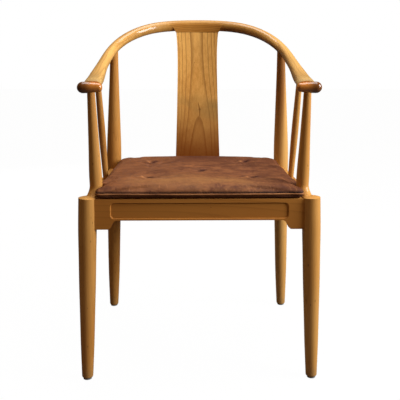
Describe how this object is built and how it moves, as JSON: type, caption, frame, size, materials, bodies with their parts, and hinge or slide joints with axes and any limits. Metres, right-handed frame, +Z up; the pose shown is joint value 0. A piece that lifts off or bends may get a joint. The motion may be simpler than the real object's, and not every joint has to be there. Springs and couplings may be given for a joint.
{
  "type": "horseshoe back armchair",
  "caption": "Wooden armchair with a horseshoe top rail that ends in hand scrolls, a curved splat, turned legs and a loose tufted leather cushion.",
  "frame": {"origin": "on the floor, under the middle of the chair's footprint", "axes": "+Z up, +X to the right seen from the front, the chair faces -Y"},
  "size_m": [0.5342, 0.5448, 0.8202],
  "materials": {
    "wood": "satin oiled cherry, golden brown",
    "plywood": "plain sanded plywood",
    "block_wood": "sawn beech",
    "screw_steel": "zinc plated",
    "glide_plastic": "grey nylon",
    "leather": "worn brown aniline leather",
    "foam": "foam in a cotton liner",
    "thread": "waxed thread"
  },
  "bodies": {
    "frame": {"top_rail": "wood", "splat": "wood", "front_leg_left": "wood", "front_leg_right": "wood", "rear_leg_left": "wood", "rear_leg_right": "wood", "spindle_left": "wood", "spindle_right": "wood", "front_seat_rail": "wood", "rear_seat_rail": "wood", "side_seat_rail_left": "wood", "side_seat_rail_right": "wood", "seat_panel": "plywood", "corner_block_front_left": "block_wood", "corner_block_front_right": "block_wood", "corner_block_rear_left": "block_wood", "corner_block_rear_right": "block_wood", "corner_block_screws": "screw_steel", "seat_panel_screws": "screw_steel", "foot_glides": "glide_plastic", "glide_nails": "screw_steel"},
    "cushion": {"cushion_cover": "leather", "cushion_core": "foam", "tuft_ties": "thread"}
  },
  "joints": [
    {"name": "cushion_lift", "type": "slide", "parent": "frame", "child": "cushion", "axis": [0, 0, 1], "range_m": [0, 0.16]}
  ]
}
